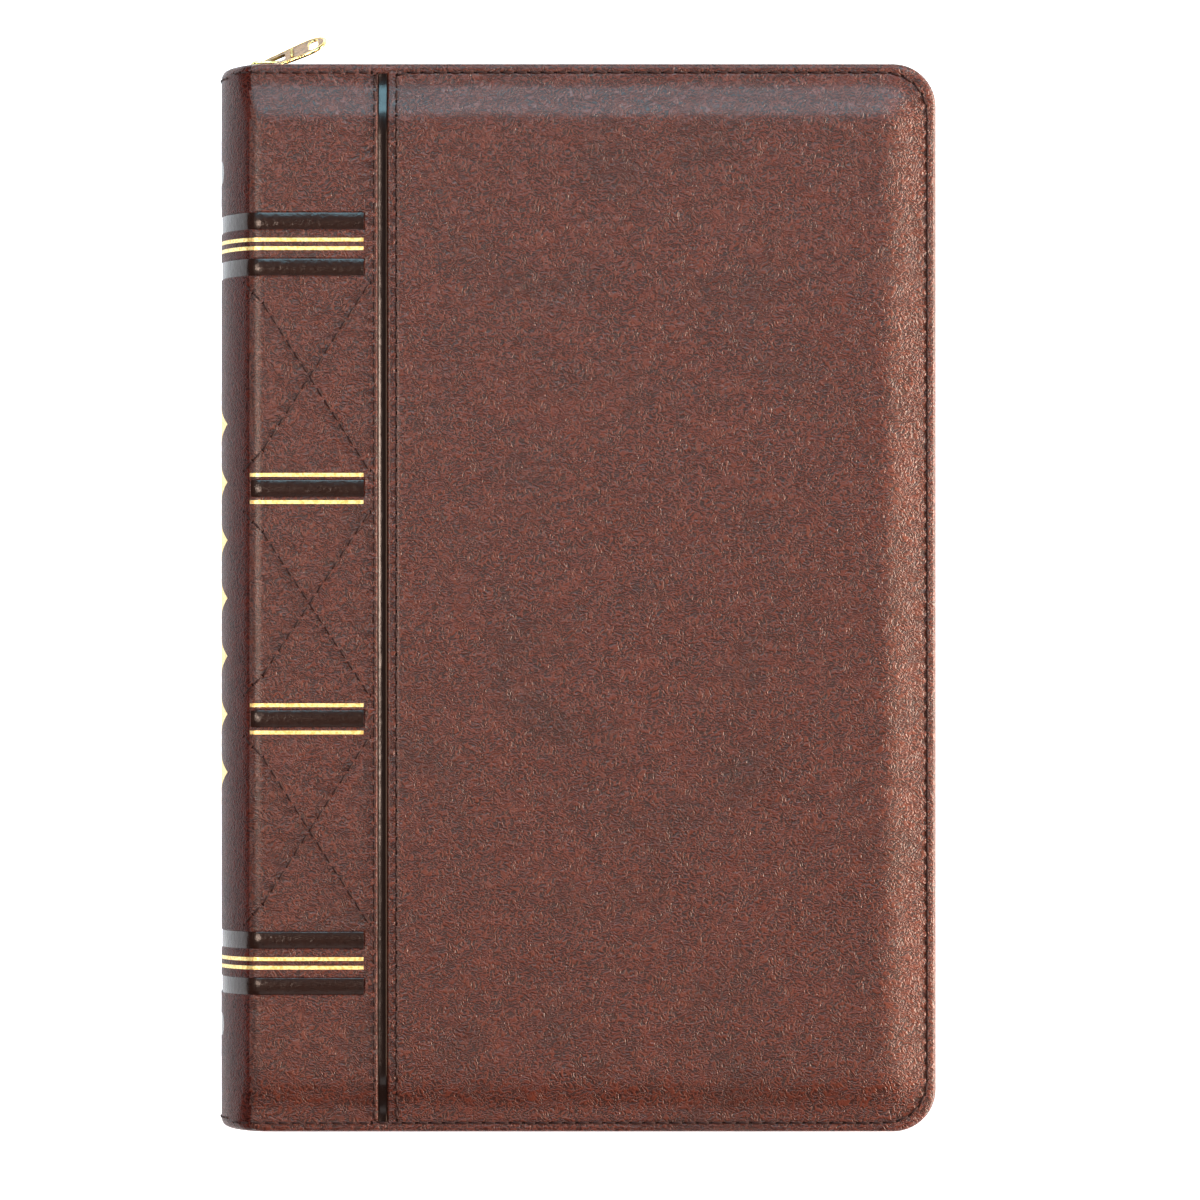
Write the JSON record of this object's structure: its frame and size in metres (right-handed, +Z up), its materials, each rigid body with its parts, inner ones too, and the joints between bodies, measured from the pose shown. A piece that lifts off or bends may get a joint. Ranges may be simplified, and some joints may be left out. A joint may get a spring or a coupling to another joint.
{
  "type": "zip bible",
  "caption": "Zip-fastened bible in padded leather that opens at the middle, with a rounded spine, a piped front cover and a sliding zip pull.",
  "frame": {"origin": "middle of the flat outer face of the back cover, which the closed book lies on", "axes": "+Y towards the head of the book, -X towards the spine, +Z up out of the front cover"},
  "size_m": [0.1474, 0.2267, 0.038],
  "materials": {
    "leather": "semi-gloss, grained",
    "gloss_piping": "gloss",
    "pressed_band": "gloss",
    "gold_foil": "polished",
    "thread": "twisted",
    "foam": "matte",
    "board": "matte",
    "cover_lining": "satin",
    "endpaper": "matte",
    "paper": "matte, gilt edges",
    "spine_cloth": "open weave",
    "head_band": "woven",
    "ribbon": "satin",
    "zip_tape": "woven",
    "zip_metal": "satin",
    "slider_metal": "polished"
  },
  "bodies": {
    "back_cover": {"back_leather": "leather", "back_hinge_leather": "leather", "back_piping": "gloss_piping", "back_foam": "foam", "back_board": "board", "back_lining": "cover_lining", "back_endpaper": "endpaper", "back_pages": "paper", "back_zip_tape": "zip_tape", "back_zip_teeth": "zip_metal", "back_zip_stop": "zip_metal", "back_border_stitching": "thread", "back_bands": "pressed_band", "back_gold_lines": "gold_foil", "ribbon_marker": "ribbon"},
    "spine": {"spine_leather": "leather", "spine_stiffener": "board", "spine_lining": "spine_cloth", "text_block_back": "paper", "head_band": "head_band", "tail_band": "head_band", "spine_bands": "pressed_band", "spine_gold_lines": "gold_foil", "spine_ornaments": "gold_foil"},
    "front_cover": {"front_leather": "leather", "front_hinge_leather": "leather", "front_piping": "gloss_piping", "front_foam": "foam", "front_board": "board", "front_lining": "cover_lining", "front_endpaper": "endpaper", "front_pages": "paper", "front_zip_tape": "zip_tape", "front_zip_teeth": "zip_metal", "front_zip_stop": "zip_metal", "front_border_stitching": "thread", "front_seam_stitching": "thread", "front_cross_stitching": "thread", "front_bands": "pressed_band", "front_gold_lines": "gold_foil"},
    "zip_slider": {"slider_body": "slider_metal", "slider_bridge": "slider_metal"},
    "zip_pull": {"pull_tab": "slider_metal"}
  },
  "joints": [
    {"name": "spine_hinge", "type": "hinge", "parent": "back_cover", "child": "spine", "pos_m": [-0.06675, 0, 0], "axis": [0, -1, 0], "range_deg": [0, 62]},
    {"name": "front_cover_hinge", "type": "hinge", "parent": "spine", "child": "front_cover", "pos_m": [-0.06675, 0, 0.038], "axis": [0, -1, 0], "range_deg": [0, 126]},
    {"name": "slider_travel", "type": "slide", "parent": "back_cover", "child": "zip_slider", "axis": [1, 0, 0], "range_m": [0, 0.118]},
    {"name": "pull_tab_pivot", "type": "hinge", "parent": "zip_slider", "child": "zip_pull", "pos_m": [-0.0669, 0.1102, 0.019], "axis": [0, -0.2924, 0.9563], "range_deg": [-20, 117]}
  ],
  "couplings": [
    {"joint": "spine_hinge", "follows": "front_cover_hinge", "ratio": 0.492}
  ]
}
